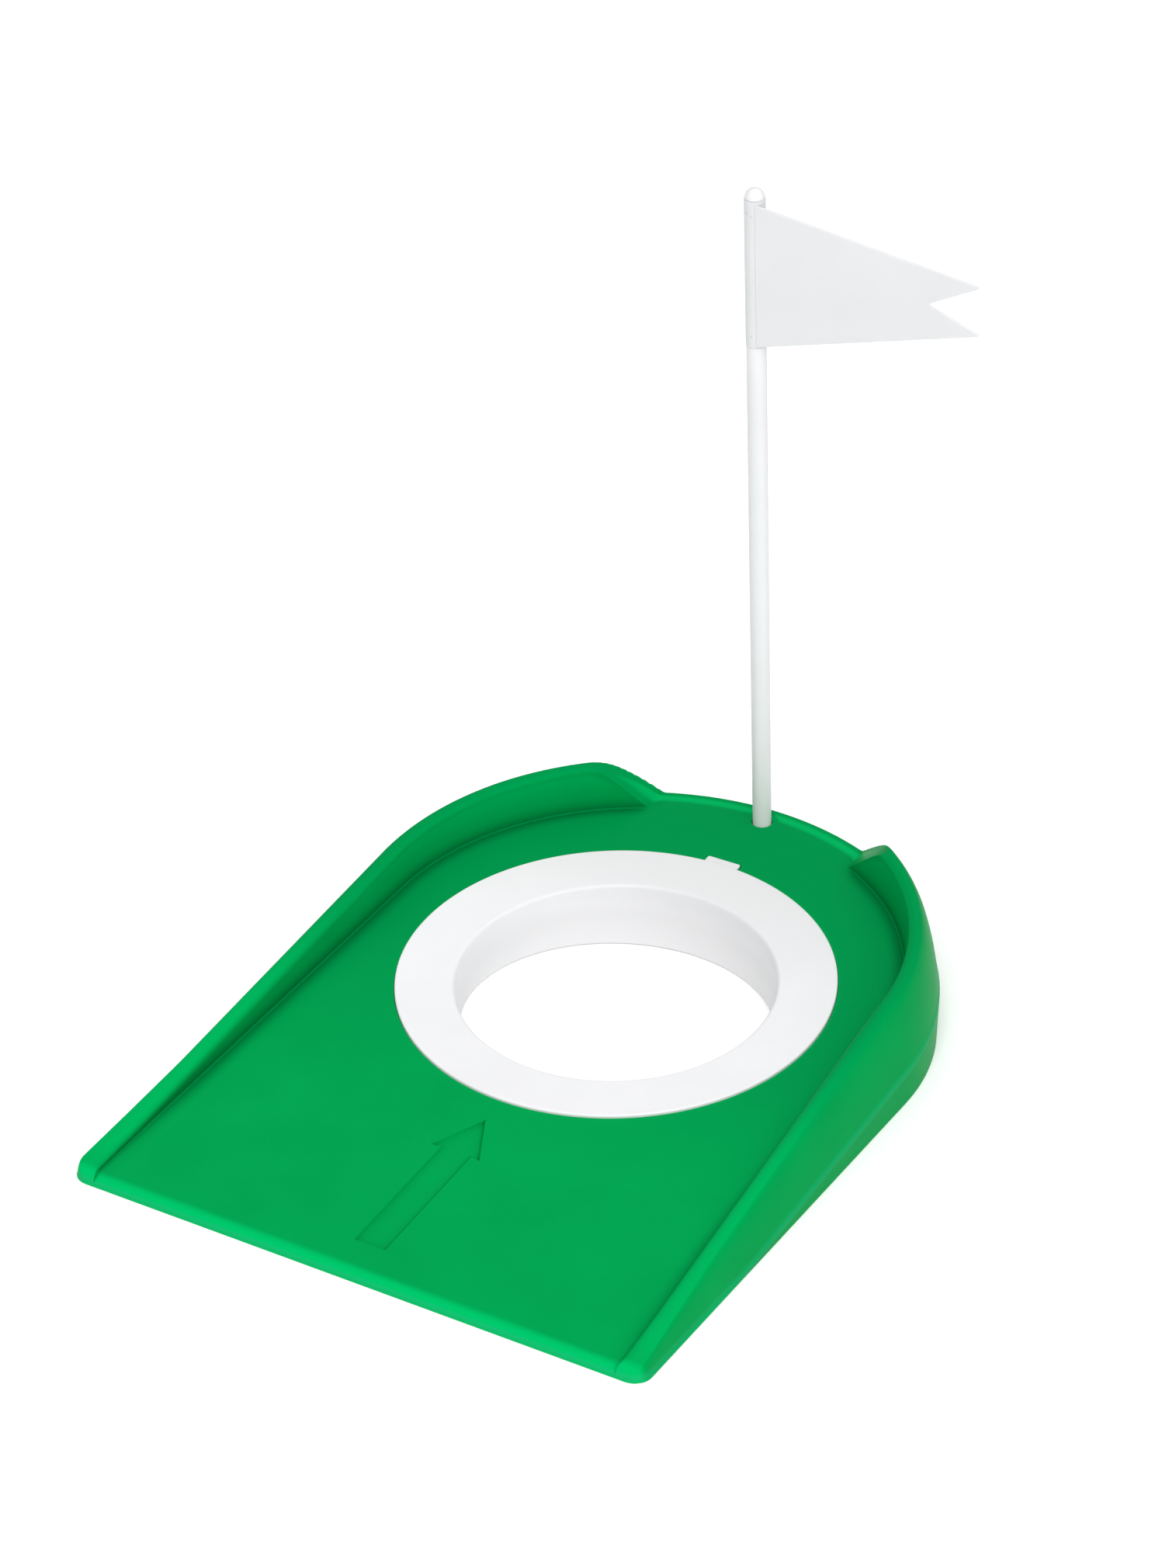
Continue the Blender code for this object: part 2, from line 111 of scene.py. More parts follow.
# ---- what the moulding adds to them ---------------------------------------------------
RAIL_INNER_ROUND = 0.0026  # radius of a rail's inner shoulder
RAIL_FRONT_ROUND = 0.0019  # the shoulder widens by this much at the front
SHOULDER_SHARE = 0.7       # and takes up no more than this share of the rail's height
FOOT_FILLET = 0.0006       # where a rail meets the deck
FILLET_SHARE = 0.45        # at most this share of the wall above it
EDGE_BLEND = 0.0008        # the rounding where one surface cuts another
KNEE_BLEND = 0.0060        # the long curve at the end of each crest
CREASE_LEDGE = 0.0004      # a narrow step where the outer wall starts above the skirt
LEDGE_ANGLES = (0.0, 0.3, 1.2, 3.0)
LEDGE_FULL_ANGLE = 4.0     # the step is complete this many degrees up the wall's curve
LEDGE_FULL_RISE = 0.010    # and narrower where the wall is lower than this
SKIRT_EDGE = ((0.0005, 0.0), (0.00012, 0.00016), (0.0, 0.0006))  # (inset, height) round its foot
NOSE_LENGTH = 0.0048       # the front lip rounds down over this length
NOSE_FACE = 0.0009         # to a low upright face
RAIL_NOSE_LENGTH = 0.0062
ARROW_DEPTH = 0.0010
ARROW_MOUTH = 0.0003       # the arrow is this much wider all round at the deck
# Its sloped walls from the floor up, as (outset, share of the depth).
ARROW_WALL = ((-0.0010, 1.0), (-0.0007, 0.93), (-0.0004, 0.75), (-0.0001, 0.45), (0.0001, 0.2))
SEAT_EASE = 0.00015        # the rounded edges of the seat, the tab's notch and the socket
NOTCH_EASE = 0.0002
SOCKET_EASE = 0.0003
TAB_ROOT = 0.0025          # the tab starts this far inside the ring's rim
TAB_DROP = 0.0002          # its top lies this far under the rim's
TAB_CORNER = 0.0008
TAB_EDGE = 0.00035
NOTCH_CORNER = 0.0006
RIM_SWELL = 0.0001         # leaves a hair-thin gap round the rim
RIM_EDGE = 0.0006          # radius of the rim's upper edge
CUP_BEND = 0.0013          # radius where the flange turns down into the tube
RING_FOOT_LEVEL = 0.0005   # the tube ends this far above the floor
NECK_EASE = 0.0001
SLEEVE_EDGE = 0.00012
SLEEVE_EXTRA = 0.00022     # the sleeve nearly fills the neck at each end
SHEET_CORNER = 0.0005
SHEET_EDGE = 0.00022
SINK_MARK_RADIUS = 0.0005
SINK_MARK_LIFT = 0.0002    # a mark's centre lies this far outside the sleeve
HOLLOW_UNDERCUT = 0.002    # the hollow's cutter starts this far below the floor
HOLLOW_REACH = 0.85        # and stays this many walls inside the rail's inner face
HOLLOW_DROP = 1.12         # and this many walls, measured upright, under the sloping top

# ---- how finely the shapes are cut ----------------------------------------------------
RING_STEPS = 192           # round the ring, and round what is cut for it and for the pole
SEAT_STEPS = 180
PAD_STEPS = 120
POLE_STEPS = 64
BOSS_STEPS = 48
MARK_STEPS = 16
QUARTER_STEPS = 4          # round a quarter circle of an edge
BEND_STEPS = 6
DOME_STEPS = 12
OUTER_ROWS = 16            # up the outer wall
ROUND_ROWS = 6             # round the inner shoulder
WALL_ROWS = 4              # down the inner wall
FILLET_ROWS = 5            # and out on to the deck
NOSE_STATIONS = (0.0, 0.00012, 0.0003, 0.0006, 0.001, 0.0015, 0.0021, 0.0028, 0.0036, 0.0044,
                 0.0052, 0.0060, 0.0070, 0.0085, 0.0105, 0.0135)  # from the front edge
LANE_START = 0.0180
LANE_STEP = 0.0052
ARC_STEP = 2               # degrees, round the rear
RADIAL_UNTIL = 25          # sections point at the arc's centre up to this angle
SQUARE_FROM = 48           # and run straight to the rear from this one on
REAR_REACH = 0.098         # the radius at which an angle's x is measured there
RAIL_END_STEP = 0.0009     # x steps through the sloping rail end
RAIL_END_X = 0.0381
GAP_STATIONS = (0.0370, 0.0350, 0.0320, 0.0280, 0.0240, 0.0200, 0.0160, 0.0120, 0.0080, 0.0040, 0.0)


def deck_height(y):
    return LIP_HEIGHT + math.tan(DECK_ANGLE) * (y - FRONT_Y)


def rail_height(y):
    rise = math.tan(RAIL_TOP_ANGLE) * (min(y, ARC_Y) - FRONT_Y)
    return RAIL_FRONT_HEIGHT + rise + math.tan(RAIL_REAR_ANGLE) * max(y - ARC_Y, 0.0)


def crease_height(y):
    return max(deck_height(y) - CREASE_DROP, LOWEST_CREASE)


def towards_front(y):
    """0 where the rounded rear starts, 1 at the front edge."""
    return max(ARC_Y - y, 0.0) / (ARC_Y - FRONT_Y)


def rail_width(y):
    return RAIL_WIDTH - LANE_FLARE * towards_front(y)


def smooth_min(a, b, reach):
    """The smaller of two values, with their crossing rounded where they differ less than reach."""
    overlap = max(reach - abs(a - b), 0.0) / reach
    return min(a, b) - overlap * overlap * reach / 4


def smooth_max(a, b, reach):
    return -smooth_min(-a, -b, reach)


def on_deck(y, lift=0.0, lean=DECK_ANGLE):
    """A frame on the deck's middle line at y: +Z square to the deck, +Y uphill."""
    place = Matrix.Translation((0, y, deck_height(y)))
    return place @ Matrix.Rotation(lean, 4, "X") @ Matrix.Translation((0, 0, lift))


# ---- mesh tools -----------------------------------------------------------------------
def make_object(name, shape, matrix=None):
    """A mesh object from a bmesh, with its place in its vertices."""
    if matrix is not None:
        bmesh.ops.transform(shape, matrix=matrix, verts=shape.verts)
    bmesh.ops.recalc_face_normals(shape, faces=shape.faces)
    mesh = bpy.data.meshes.new(name)
    shape.to_mesh(mesh)
    shape.free()
    thing = bpy.data.objects.new(name, mesh)
    bpy.context.scene.collection.objects.link(thing)
    return thing


def combine(target, other, operation="DIFFERENCE"):
    """Cuts or joins other for good, and removes it."""
    modifier = target.modifiers.new("combine", "BOOLEAN")
    modifier.operation = operation
    modifier.solver = "EXACT"
    modifier.object = other
    bpy.context.view_layer.update()
    done = target.evaluated_get(bpy.context.evaluated_depsgraph_get())
    mesh = bpy.data.meshes.new_from_object(done)
    target.modifiers.clear()
    target.data = mesh
    bpy.data.objects.remove(other, do_unlink=True)
    shape = bmesh.new()
    shape.from_mesh(mesh)
    bmesh.ops.remove_doubles(shape, verts=shape.verts, dist=0.000004)
    bmesh.ops.dissolve_degenerate(shape, edges=shape.edges, dist=0.000002)
    shape.to_mesh(mesh)
    shape.free()
    return target


def revolve(name, profile, steps, matrix, closed=False, foot_level=None):
    """Turns (radius, height) about Z. foot_level cuts the points marked None level there."""
    shape = bmesh.new()
    loops = []
    for i in range(steps):
        turn = 2 * math.pi * i / steps
        loop = []
        for radius, height in profile:
            x = radius * math.cos(turn)
            y = radius * math.sin(turn)
            if height is None:
                base = matrix.translation.z + matrix[2][1] * y
                height = (foot_level - base) / matrix[2][2]
            loop.append(shape.verts.new((x, y, height)))
        loops.append(loop)
    count = len(profile) if closed else len(profile) - 1
    for i in range(steps):
        here, after = loops[i], loops[(i + 1) % steps]
        for j in range(count):
            k = (j + 1) % len(profile)
            shape.faces.new((here[j], after[j], after[k], here[k]))
    bmesh.ops.remove_doubles(shape, verts=shape.verts, dist=0.000001)
    return make_object(name, shape, matrix)


def loft(name, rings, matrix=None):
    """A closed solid through rings of points, the lowest ring first."""
    shape = bmesh.new()
    loops = [[shape.verts.new(point) for point in ring] for ring in rings]
    count = len(loops[0])
    for low, high in zip(loops, loops[1:]):
        for i in range(count):
            j = (i + 1) % count
            shape.faces.new((low[i], low[j], high[j], high[i]))
    shape.faces.new(loops[0])
    shape.faces.new(loops[-1])
    return make_object(name, shape, matrix)


def arc(centre, radius, start, end, steps):
    """Points (x, y) along an arc, angles in degrees, both ends included."""
    points = []
    for i in range(steps + 1):
        angle = math.radians(start + (end - start) * i / steps)
        points.append((centre[0] + radius * math.cos(angle), centre[1] + radius * math.sin(angle)))
    return points


def rounded(outline, radius, steps):
    """An outline with each corner replaced by a curve of about that radius."""
    points = []
    count = len(outline)
    for i in range(count):
        before, here, after = (Vector(outline[(i + k) % count]) for k in (-1, 0, 1))
        one = (before - here).normalized()
        two = (after - here).normalized()
        half = one.angle(two) / 2
        room = 0.45 * min((before - here).length, (after - here).length)
        reach = min(radius / math.tan(half), room)
        start = here + one * reach
        end = here + two * reach
        for k in range(steps + 1):
            t = k / steps
            point = start * (1 - t) ** 2 + here * 2 * t * (1 - t) + end * t * t
            points.append((point.x, point.y))
    return points


def grown(outline, amount):
    """An anticlockwise outline moved outwards by amount."""
    points = []
    count = len(outline)
    for i in range(count):
        before, here, after = (Vector(outline[(i + k) % count]) for k in (-1, 0, 1))
        one = (here - before).normalized()
        two = (after - here).normalized()
        normal = Vector((one.y + two.y, -one.x - two.x))
        scale = 2 / max(normal.length_squared, 0.5)
        points.append(tuple(here + normal * scale * amount))
    return points


def slab(name, outline, low, high, edge, matrix, steps=3):
    """A flat plate with rounded upper and lower edges."""
    rings = []
    for i in range(steps + 1):
        turn = math.pi / 2 * i / steps
        rings.append((-edge * (1 - math.sin(turn)), low + edge * (1 - math.cos(turn))))
    for i in range(steps + 1):
        turn = math.pi / 2 * i / steps
        rings.append((-edge * (1 - math.cos(turn)), high - edge * (1 - math.sin(turn))))
    return loft(name, [[(x, y, z) for x, y in grown(outline, out)] for out, z in rings], matrix)


def finish_mesh(thing, sharp_angle=32):
    """Smooth shading up to sharp_angle degrees, and flat faces kept flat."""
    shape = bmesh.new()
    shape.from_mesh(thing.data)
    limit = math.radians(sharp_angle)
    for face in shape.faces:
        face.smooth = True
    for edge in shape.edges:
        edge.smooth = len(edge.link_faces) == 2 and edge.calc_face_angle(math.pi) < limit
    shape.to_mesh(thing.data)
    shape.free()
    weights = thing.modifiers.new("weights", "WEIGHTED_NORMAL")
    weights.keep_sharp = True
    weights.weight = 90
    return thing


# ---- the base -------------------------------------------------------------------------
def section_rows(y):
    """Half a section of the base at y, from the floor up over the rail and down to the deck: for
    each row its inset, its height as a function of y, and how much of it is upper side."""
    width = rail_width(y)
    rise = rail_height(y) - crease_height(y)
    radius = min(RAIL_INNER_ROUND, (rail_height(y) - deck_height(y)) * SHOULDER_SHARE)
    wall = rail_height(y) - radius - deck_height(y)
    fillet = min(FOOT_FILLET, wall * FILLET_SHARE)
    rows = [(inset, lambda v, z=height: z, 0.0) for inset, height in SKIRT_EDGE]

    def outer(angle):
        share = RAIL_OUTER_FALL * (1 - math.cos(angle)) ** RAIL_OUTER_SHAPE

        def height(v):
            return crease_height(v) + math.sin(angle) * (rail_height(v) - crease_height(v))
        started = min(angle / math.radians(LEDGE_FULL_ANGLE), 1.0)
        ledge = CREASE_LEDGE * started * min(rise / LEDGE_FULL_RISE, 1.0)
        return ledge + share * rise, height, math.sin(angle) ** 2

    rows += [outer(math.radians(angle)) for angle in LEDGE_ANGLES]
    for i in range(1, OUTER_ROWS + 1):
        rows.append(outer(math.pi / 2 * i / OUTER_ROWS))
    reach = RAIL_INNER_ROUND + RAIL_FRONT_ROUND * towards_front(y)
    for i in range(ROUND_ROWS + 1):
        angle = math.pi / 2 * (1 - i / ROUND_ROWS)
        inset = width - RAIL_INNER_DRAFT * wall - reach * (1 - math.cos(angle))
        rows.append((inset, lambda v, a=angle: rail_height(v) - radius * (1 - math.sin(a)), 1.0))
    for i in range(1, WALL_ROWS):
        share = i / WALL_ROWS

        def wall_height(v, s=share):
            top = rail_height(v) - radius
            return top + (deck_height(v) + fillet - top) * s
        rows.append((width - RAIL_INNER_DRAFT * wall * (1 - share), wall_height, 1.0))
    for i in range(FILLET_ROWS + 1):
        angle = math.pi / 2 * i / FILLET_ROWS
        rows.append((width + fillet * (1 - math.cos(angle)),
                     lambda v, a=angle: deck_height(v) + fillet * (1 - math.sin(a)), 1.0))
    return rows


def end_height(x, y):
    """The height that the 45 degree rail ends, rounded into the crests, leave at (x, y)."""
    deck = deck_height(y)
    ramp = smooth_max(deck, deck + abs(x) - GAP_HALF_WIDTH, EDGE_BLEND)
    return smooth_min(rail_height(y) + EDGE_BLEND, ramp, KNEE_BLEND)


def nose_height(distance, length, top):
    """A quarter ellipse from the low front face up to top."""
    if distance >= length:
        return top + FAR
    share = 1 - distance / length
    return NOSE_FACE + (top - NOSE_FACE) * math.sqrt(max(1 - share * share, 0.0))


def stations():
    """Where sections are taken on the right side: (y, None) along the lane, then (None, angle)
    round the rear, to the middle of the gap."""
    distances = list(NOSE_STATIONS)
    ahead = LANE_START
    while ahead < ARC_Y - FRONT_Y - 0.002:
        distances.append(ahead)
        ahead += LANE_STEP
    places = [(FRONT_Y + distance, None) for distance in distances]
    places += [(None, math.radians(angle)) for angle in range(0, SQUARE_FROM, ARC_STEP)]
    x = REAR_REACH * math.cos(math.radians(SQUARE_FROM))
    while x > RAIL_END_X:
        places.append((None, math.acos(x / REAR_REACH)))
        x -= RAIL_END_STEP
    places += [(None, math.acos(x / REAR_REACH)) for x in GAP_STATIONS]
    return places


def place_on_plan(inset, y, angle):
    """(x, y) of a section point on the right-hand side."""
    if y is not None:
        ahead = y - FRONT_Y
        if ahead < CORNER_RADIUS:
            corner = CORNER_RADIUS - math.sqrt(CORNER_RADIUS ** 2 - (CORNER_RADIUS - ahead) ** 2)
            span = rail_width(y) + FOOT_FILLET
            inset = corner + inset * (span - corner) / span if inset < span else inset
        return HALF_WIDTH - inset, y
    radius = HALF_WIDTH - inset
    square = (math.degrees(angle) - RADIAL_UNTIL) / (SQUARE_FROM - RADIAL_UNTIL)
    square = min(max(square, 0.0), 1.0)
    square = square * square * (3 - 2 * square)
    straight = math.acos(min(REAR_REACH * math.cos(angle) / radius, 1.0))
    turn = angle + (straight - angle) * square
    return radius * math.cos(turn), ARC_Y + radius * math.sin(turn)


def skin_height(row, last, x, y, on_arc):
    """The top of the base at (x, y) in one of the rows of section_rows."""
    z = row[1](y)
    if on_arc:
        end = end_height(x, y)
        z = smooth_min(z, end, max(min(EDGE_BLEND, end - deck_height(y)), HAIR))
    nose = NOSE_LENGTH if last else RAIL_NOSE_LENGTH
    top = deck_height(FRONT_Y + nose) if last else rail_height(FRONT_Y + nose)
    return min(z, nose_height(y - FRONT_Y, nose, top))


def base_solid(name, hollow):
    """The outer skin closed by a flat bottom, or the hollow under it."""
    grid = []
    for y, angle in stations():
        on_arc = y is None
        if hollow and not on_arc and y <= FRONT_Y + TOE_LENGTH:
            continue
        nominal = ARC_Y + REAR_REACH * math.sin(angle) if on_arc else y
        rows = section_rows(nominal)
        limit = rail_width(nominal) - WALL * HOLLOW_REACH
        line = []
        for number, row in enumerate(rows):
            inset, height, upper = row
            if hollow:
                inset = min(inset + WALL, limit + number * HAIR)
            x, here_y = place_on_plan(inset, y, angle)
            z = height(here_y)
            if number >= len(SKIRT_EDGE):
                z = skin_height(row, number == len(rows) - 1, x, here_y, on_arc)
            if hollow:
                z = z - WALL * HOLLOW_DROP * upper if number > 0 else -HOLLOW_UNDERCUT
            line.append((x, here_y, z))
        grid.append(line)
    shape = bmesh.new()
    right = [[shape.verts.new(point) for point in line] for line in grid]
    left = [[shape.verts.new((-x, y, z)) for x, y, z in line] for line in grid]
    for side in (right, left):
        for near, far in zip(side, side[1:]):
            for k in range(len(near) - 1):
                shape.faces.new((near[k], near[k + 1], far[k + 1], far[k]))
    for i in range(len(grid) - 1):
        shape.faces.new((right[i][-1], left[i][-1], left[i + 1][-1], right[i + 1][-1]))
    shape.faces.new(list(right[0]) + list(reversed(left[0])))
    shape.faces.new([line[0] for line in right] + [line[0] for line in reversed(left)])
    bmesh.ops.remove_doubles(shape, verts=shape.verts, dist=0.000002)
    bmesh.ops.dissolve_degenerate(shape, edges=shape.edges, dist=0.000001)
    return make_object(name, shape)


def seat_cutter():
    """The pocket for the ring, its eased edge and the hole."""
    rim = RING_RADIUS + CLEARANCE
    hole = CUP_RADIUS + RING_WALL + CLEARANCE
    under = RING_WALL + CLEARANCE
    profile = [(0, FAR), (rim + SEAT_EASE, FAR), (rim + SEAT_EASE, 2 * HAIR)]
    for i in range(1, QUARTER_STEPS + 1):
        turn = math.pi / 2 * i / QUARTER_STEPS
        profile.append((rim + SEAT_EASE * (1 - math.sin(turn)), -SEAT_EASE * (1 - math.cos(turn))))
    profile += [(rim, RING_PROUD - under), (hole, RING_PROUD - RING_DISH - under), (hole, -FAR), (0, -FAR)]
    return revolve("seat", profile, SEAT_STEPS, on_deck(CUP_Y))


def notch_cutter():
    """The notch that the ring's finger tab lies in."""
    half = TAB_WIDTH / 2 + CLEARANCE
    start = RING_RADIUS - 0.003
    end = RING_RADIUS + TAB_REACH + CLEARANCE
    outline = rounded([(-half, start), (half, start), (half, end), (-half, end)], NOTCH_CORNER, 3)
    levels = ((0.0, -TAB_SINK), (0.0, -NOTCH_EASE), (NOTCH_EASE, 0.0001), (NOTCH_EASE, 0.003))
    rings = [[(x, y, z) for x, y in grown(outline, out)] for out, z in levels]
    return loft("notch", rings, on_deck(CUP_Y))


def arrow_cutter():
    """The sunk arrow, its walls leaning out a little as moulded ones do."""
    head = ARROW_TAIL + ARROW_SHAFT
    outline = [(-ARROW_SHAFT_HALF, ARROW_TAIL), (ARROW_SHAFT_HALF, ARROW_TAIL),
               (ARROW_SHAFT_HALF, head), (ARROW_HEAD_HALF, head - ARROW_BARB),
               (0, head + ARROW_HEAD), (-ARROW_HEAD_HALF, head - ARROW_BARB),
               (-ARROW_SHAFT_HALF, head)]
    levels = [(out, -ARROW_DEPTH * share) for out, share in ARROW_WALL]
    levels += [(ARROW_MOUTH, 2 * HAIR), (ARROW_MOUTH, 0.004)]
    rings = [[(x, y, z) for x, y in grown(outline, out)] for out, z in levels]
    return loft("arrow", rings, on_deck(FRONT_Y))


def pole_cutters():
    """The boss that the hollow leaves under the deck, and the socket in it."""
    frame_at_pole = on_deck(POLE_Y, lean=POLE_LEAN)
    bore = POLE_RADIUS + CLEARANCE
    wall = bore + SOCKET_WALL
    foot = -SOCKET_DEPTH - SOCKET_WALL
    boss = revolve("boss", [(0, ABOVE_DECK), (wall, ABOVE_DECK), (wall, foot), (0, foot)],
                   BOSS_STEPS, frame_at_pole)
    mouth = bore + SOCKET_EASE
    socket = revolve("socket", [(0, ABOVE_DECK), (mouth, ABOVE_DECK), (mouth, 0.0001), (bore, -SOCKET_EASE),
                                (bore, -SOCKET_DEPTH), (0, -SOCKET_DEPTH)], POLE_STEPS, frame_at_pole)
    return boss, socket


def make_base():
    base = base_solid("base_moulding", False)
    hollow = base_solid("hollow", True)
    pad_radius = RING_RADIUS + SEAT_PAD_REACH
    collar_radius = CUP_RADIUS + RING_WALL + CLEARANCE + COLLAR_WALL
    pad = revolve("pad", [(0, FAR), (pad_radius, FAR), (pad_radius, -SEAT_PAD_DEPTH),
                          (collar_radius, -SEAT_PAD_DEPTH), (collar_radius, -COLLAR_DEPTH),
                          (0, -COLLAR_DEPTH)], PAD_STEPS, on_deck(CUP_Y))
    boss, socket = pole_cutters()
    combine(hollow, pad)
    combine(hollow, boss)
    combine(base, hollow)
    combine(base, seat_cutter())
    combine(base, notch_cutter())
    combine(base, arrow_cutter())
    combine(base, socket)
    return finish_mesh(base)


# ---- ring, pole and flag --------------------------------------------------------------
def make_ring():
    """Flange and tube with rounded edges, cut level just above the floor, and a finger tab."""
    rim_top = RING_PROUD
    inner_top = RING_PROUD - RING_DISH
    edge = RIM_EDGE
    bend = CUP_BEND
    rim = RING_RADIUS + RIM_SWELL
    profile = []
    for i in range(QUARTER_STEPS + 1):
        turn = math.pi / 2 * i / QUARTER_STEPS
        profile.append((rim - edge + edge * math.sin(turn), rim_top - edge + edge * math.cos(turn)))
    profile += [(rim, rim_top - RING_WALL), (CUP_RADIUS + RING_WALL, inner_top - RING_WALL)]
    profile += [(CUP_FOOT_RADIUS + RING_WALL, None), (CUP_FOOT_RADIUS, None)]
    for i in range(BEND_STEPS + 1):
        turn = math.pi / 2 * i / BEND_STEPS
        profile.append((CUP_RADIUS + bend * (1 - math.cos(turn)), inner_top - bend * (1 - math.sin(turn))))
    ring = revolve("cup_ring_moulding", profile, RING_STEPS, on_deck(CUP_Y), closed=True,
                   foot_level=RING_FOOT_LEVEL)
    half = TAB_WIDTH / 2
    start = RING_RADIUS - TAB_ROOT
    end = RING_RADIUS + TAB_REACH
    outline = rounded([(-half, start), (half, start), (half, end), (-half, end)], TAB_CORNER, 4)
    bottom = CLEARANCE - TAB_SINK
    top = RING_PROUD - TAB_DROP
    combine(ring, slab("tab", outline, bottom, top, TAB_EDGE, on_deck(CUP_Y)), "UNION")
    return finish_mesh(ring, 40)


def make_pole():
    """One rod with a domed head and a neck for the flag's sleeve."""
    dome = arc((0, POLE_HEIGHT - POLE_RADIUS), POLE_RADIUS, 90, 0, DOME_STEPS)
    neck_top = SLEEVE_TOP + CLEARANCE
    neck_bottom = SLEEVE_BOTTOM - CLEARANCE
    foot = -SOCKET_DEPTH + CLEARANCE
    ease = NECK_EASE
    profile = [(0 if i == 0 else radius, height) for i, (radius, height) in enumerate(dome)]
    profile += [(POLE_RADIUS, neck_top + ease), (POLE_RADIUS - ease, neck_top), (NECK_RADIUS, neck_top),
                (NECK_RADIUS, neck_bottom), (POLE_RADIUS - ease, neck_bottom),
                (POLE_RADIUS, neck_bottom - ease), (POLE_RADIUS, foot + FOOT_CHAMFER),
                (POLE_RADIUS - FOOT_CHAMFER, foot), (0, foot)]
    pole = revolve("pole_rod", profile, POLE_STEPS, on_deck(POLE_Y, lean=POLE_LEAN))
    return finish_mesh(pole, 40)


def make_flag():
    """Sleeve and pennant as one moulding, with the small sink marks the sleeve shows."""
    inner = NECK_RADIUS + CLEARANCE
    sleeve_frame = on_deck(POLE_Y, lean=POLE_LEAN) @ Matrix.Rotation(FLAG_TURN, 4, "Z")
    edge = SLEEVE_EDGE
    top = SLEEVE_TOP + SLEEVE_EXTRA
    bottom = SLEEVE_BOTTOM - SLEEVE_EXTRA
    flag = revolve("pennant", [(SLEEVE_RADIUS - edge, top), (SLEEVE_RADIUS, top - edge),
                               (SLEEVE_RADIUS, bottom + edge), (SLEEVE_RADIUS - edge, bottom),
                               (inner, bottom), (inner, top)], POLE_STEPS, sleeve_frame, closed=True)
    outline = [(SHEET_ROOT, FLAG_MIDDLE - FLAG_ROOT_HALF), (FLAG_LENGTH, FLAG_MIDDLE - FLAG_TIP_HALF),
               (FLAG_NOTCH, FLAG_MIDDLE), (FLAG_LENGTH, FLAG_MIDDLE + FLAG_TIP_HALF),
               (SHEET_ROOT, FLAG_MIDDLE + FLAG_ROOT_HALF)]
    outline = rounded(outline, SHEET_CORNER, 4)
    upright = Matrix.Rotation(math.radians(90), 4, "X")
    forward = Matrix.Translation((0, -(SLEEVE_RADIUS - FLAG_THICKNESS / 2), 0))
    sheet = slab("sheet", outline, -FLAG_THICKNESS / 2, FLAG_THICKNESS / 2, SHEET_EDGE,
                 sleeve_frame @ forward @ upright)
    combine(flag, sheet, "UNION")
    below = SLEEVE_BOTTOM - 0.01
    bore = revolve("bore", [(0, POLE_HEIGHT), (inner, POLE_HEIGHT), (inner, below), (0, below)],
                   POLE_STEPS, sleeve_frame)
    combine(flag, bore)
    for x, z in ((-0.0019, top - 0.0044), (-0.0003, top - 0.0054), (-0.0006, bottom + 0.0040)):
        place = Matrix.Translation((x, -math.sqrt(SLEEVE_RADIUS ** 2 - x ** 2) - SINK_MARK_LIFT, z))
        mark = arc((0, 0), SINK_MARK_RADIUS, 90, -90, 8)
        combine(flag, revolve("mark", mark, MARK_STEPS, sleeve_frame @ place))
    return finish_mesh(flag, 35)


# ---- materials ------------------------------------------------------------------------
def linear(red, green, blue):
    """8-bit display colour to the linear value a shader takes."""
    def one(value):
        value /= 255
        return value / 12.92 if value <= 0.04045 else ((value + 0.055) / 1.055) ** 2.4
    return (one(red), one(green), one(blue), 1.0)


# A pair is where a tint starts and where it is full. Facing is the Z of a face's normal.
WHITE = (1.0, 1.0, 1.0, 1.0)
# Painted highlight: upward-facing surfaces raised above the deck get paler.
CREST_HIGHLIGHT = linear(0, 166, 85)
CREST_ABOVE_DECK = (0.0008, 0.0030)
CREST_FACING = (0.35, 1.02)
# Painted shade: upward-facing surfaces get darker towards the rear.
REAR_SHADE = linear(0, 137, 70)
REAR_Y_RANGE = (-0.070, 0.030)
REAR_FACING = (0.30, 0.90)
REAR_SHADE_STRENGTH = 0.85
# Painted highlight on the rounded front nose.
LIP_HIGHLIGHT = linear(0, 178, 95)
LIP_RANGE = (0.0044, 0.0012)       # from the front edge
# Painted highlight in a pale stripe along the outer wall's crease.
CREASE_HIGHLIGHT = linear(30, 168, 110)
CREASE_RANGE = (0.0024, 0.0002)    # above or below the crease
CREASE_FACING = (0.75, 0.45)
CREASE_HIGHLIGHT_STRENGTH = 0.45
CREASE_LOWEST = 0.0014
# Painted shade on the ring towards its rear and down its tube.
CUP_SHADE = linear(218, 218, 219)
CUP_DEPTH = (0.0004, 0.0130)       # below the deck
CUP_REAR = (0.005, RING_RADIUS)    # behind the cup's centre
SUBSURFACE_REACH = 0.0012
CLOUD_SCALE = 38.0
RIPPLE_SCALE = 160.0
GRAIN_SCALE = 2600.0
# How far the painted highlight along raised edges reaches.
EDGE_HIGHLIGHT_REACH = 0.0018


def node_tools(tree):
    """Helpers that add sums, smooth steps and split vectors to a material."""
    nodes = tree.nodes
    links = tree.links

    def number(operation, *values):
        node = nodes.new("ShaderNodeMath")
        node.operation = operation
        for socket, value in zip(node.inputs, values):
            if isinstance(value, (int, float)):
                socket.default_value = value
            else:
                links.new(value, socket)
        return node.outputs[0]

    def ramp(value, low, high):
        node = nodes.new("ShaderNodeMapRange")
        node.interpolation_type = "SMOOTHSTEP"
        node.inputs["From Min"].default_value = low
        node.inputs["From Max"].default_value = high
        links.new(value, node.inputs["Value"])
        return node.outputs["Result"]

    def separate(vector):
        node = nodes.new("ShaderNodeSeparateXYZ")
        links.new(vector, node.inputs[0])
        return node.outputs

    return number, ramp, separate


def deck_node(number, place):
    """The deck's height under a point, from its separated object coordinates."""
    slope = math.tan(DECK_ANGLE)
    return number("MULTIPLY_ADD", place[1], slope, LIP_HEIGHT - slope * FRONT_Y)


